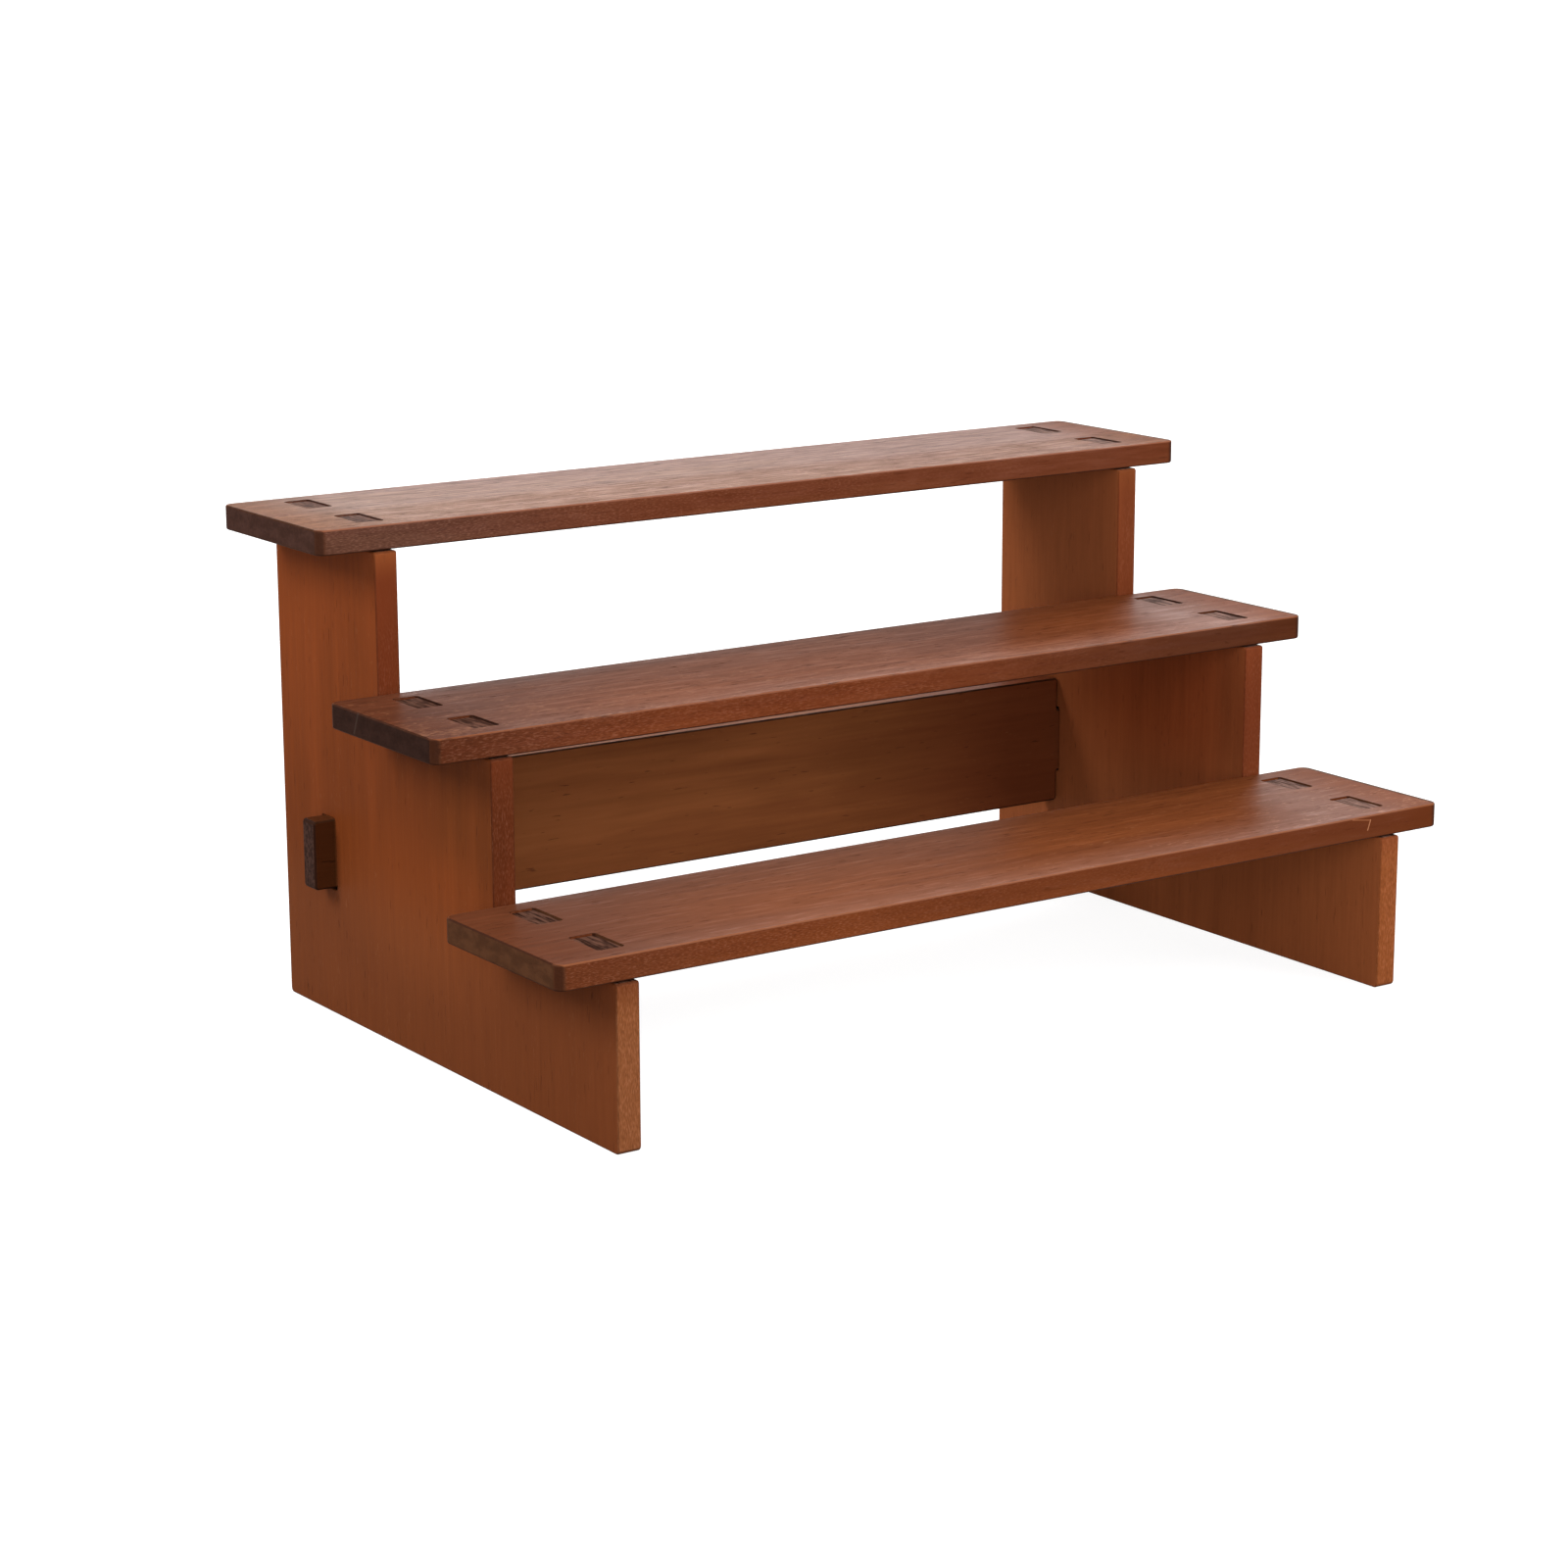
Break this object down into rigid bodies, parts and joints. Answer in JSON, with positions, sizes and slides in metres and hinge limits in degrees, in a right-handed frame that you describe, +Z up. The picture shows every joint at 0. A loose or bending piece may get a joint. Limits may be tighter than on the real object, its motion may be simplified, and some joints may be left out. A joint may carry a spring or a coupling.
{
  "type": "tiered display stand",
  "caption": "Stepped wooden counter stand: side panels with tenons and a back rail carry lift-off shelf boards that show goods on rising tiers.",
  "frame": {"origin": "on the table, under the middle of the stand's box", "axes": "+X along the shelves, +Y from the low front tier to the high back tier, +Z up"},
  "size_m": [0.3, 0.18, 0.145],
  "materials": {
    "panel_wood": "reddish-brown stain, satin, vertical grain",
    "rail_wood": "reddish-brown stain, satin, lengthwise grain",
    "shelf_wood": "reddish-brown stain, satin, lengthwise grain"
  },
  "bodies": {
    "frame": {"left_side_panel": "panel_wood", "right_side_panel": "panel_wood", "back_rail": "rail_wood"},
    "bottom_tier": {"bottom_shelf": "shelf_wood"},
    "middle_tier": {"middle_shelf": "shelf_wood"},
    "top_tier": {"top_shelf": "shelf_wood"}
  },
  "joints": [
    {"name": "bottom_shelf_lift", "type": "slide", "parent": "frame", "child": "bottom_tier", "axis": [0, 0, 1], "range_m": [0, 0.03]},
    {"name": "middle_shelf_lift", "type": "slide", "parent": "frame", "child": "middle_tier", "axis": [0, 0, 1], "range_m": [0, 0.03]},
    {"name": "top_shelf_lift", "type": "slide", "parent": "frame", "child": "top_tier", "axis": [0, 0, 1], "range_m": [0, 0.03]}
  ]
}
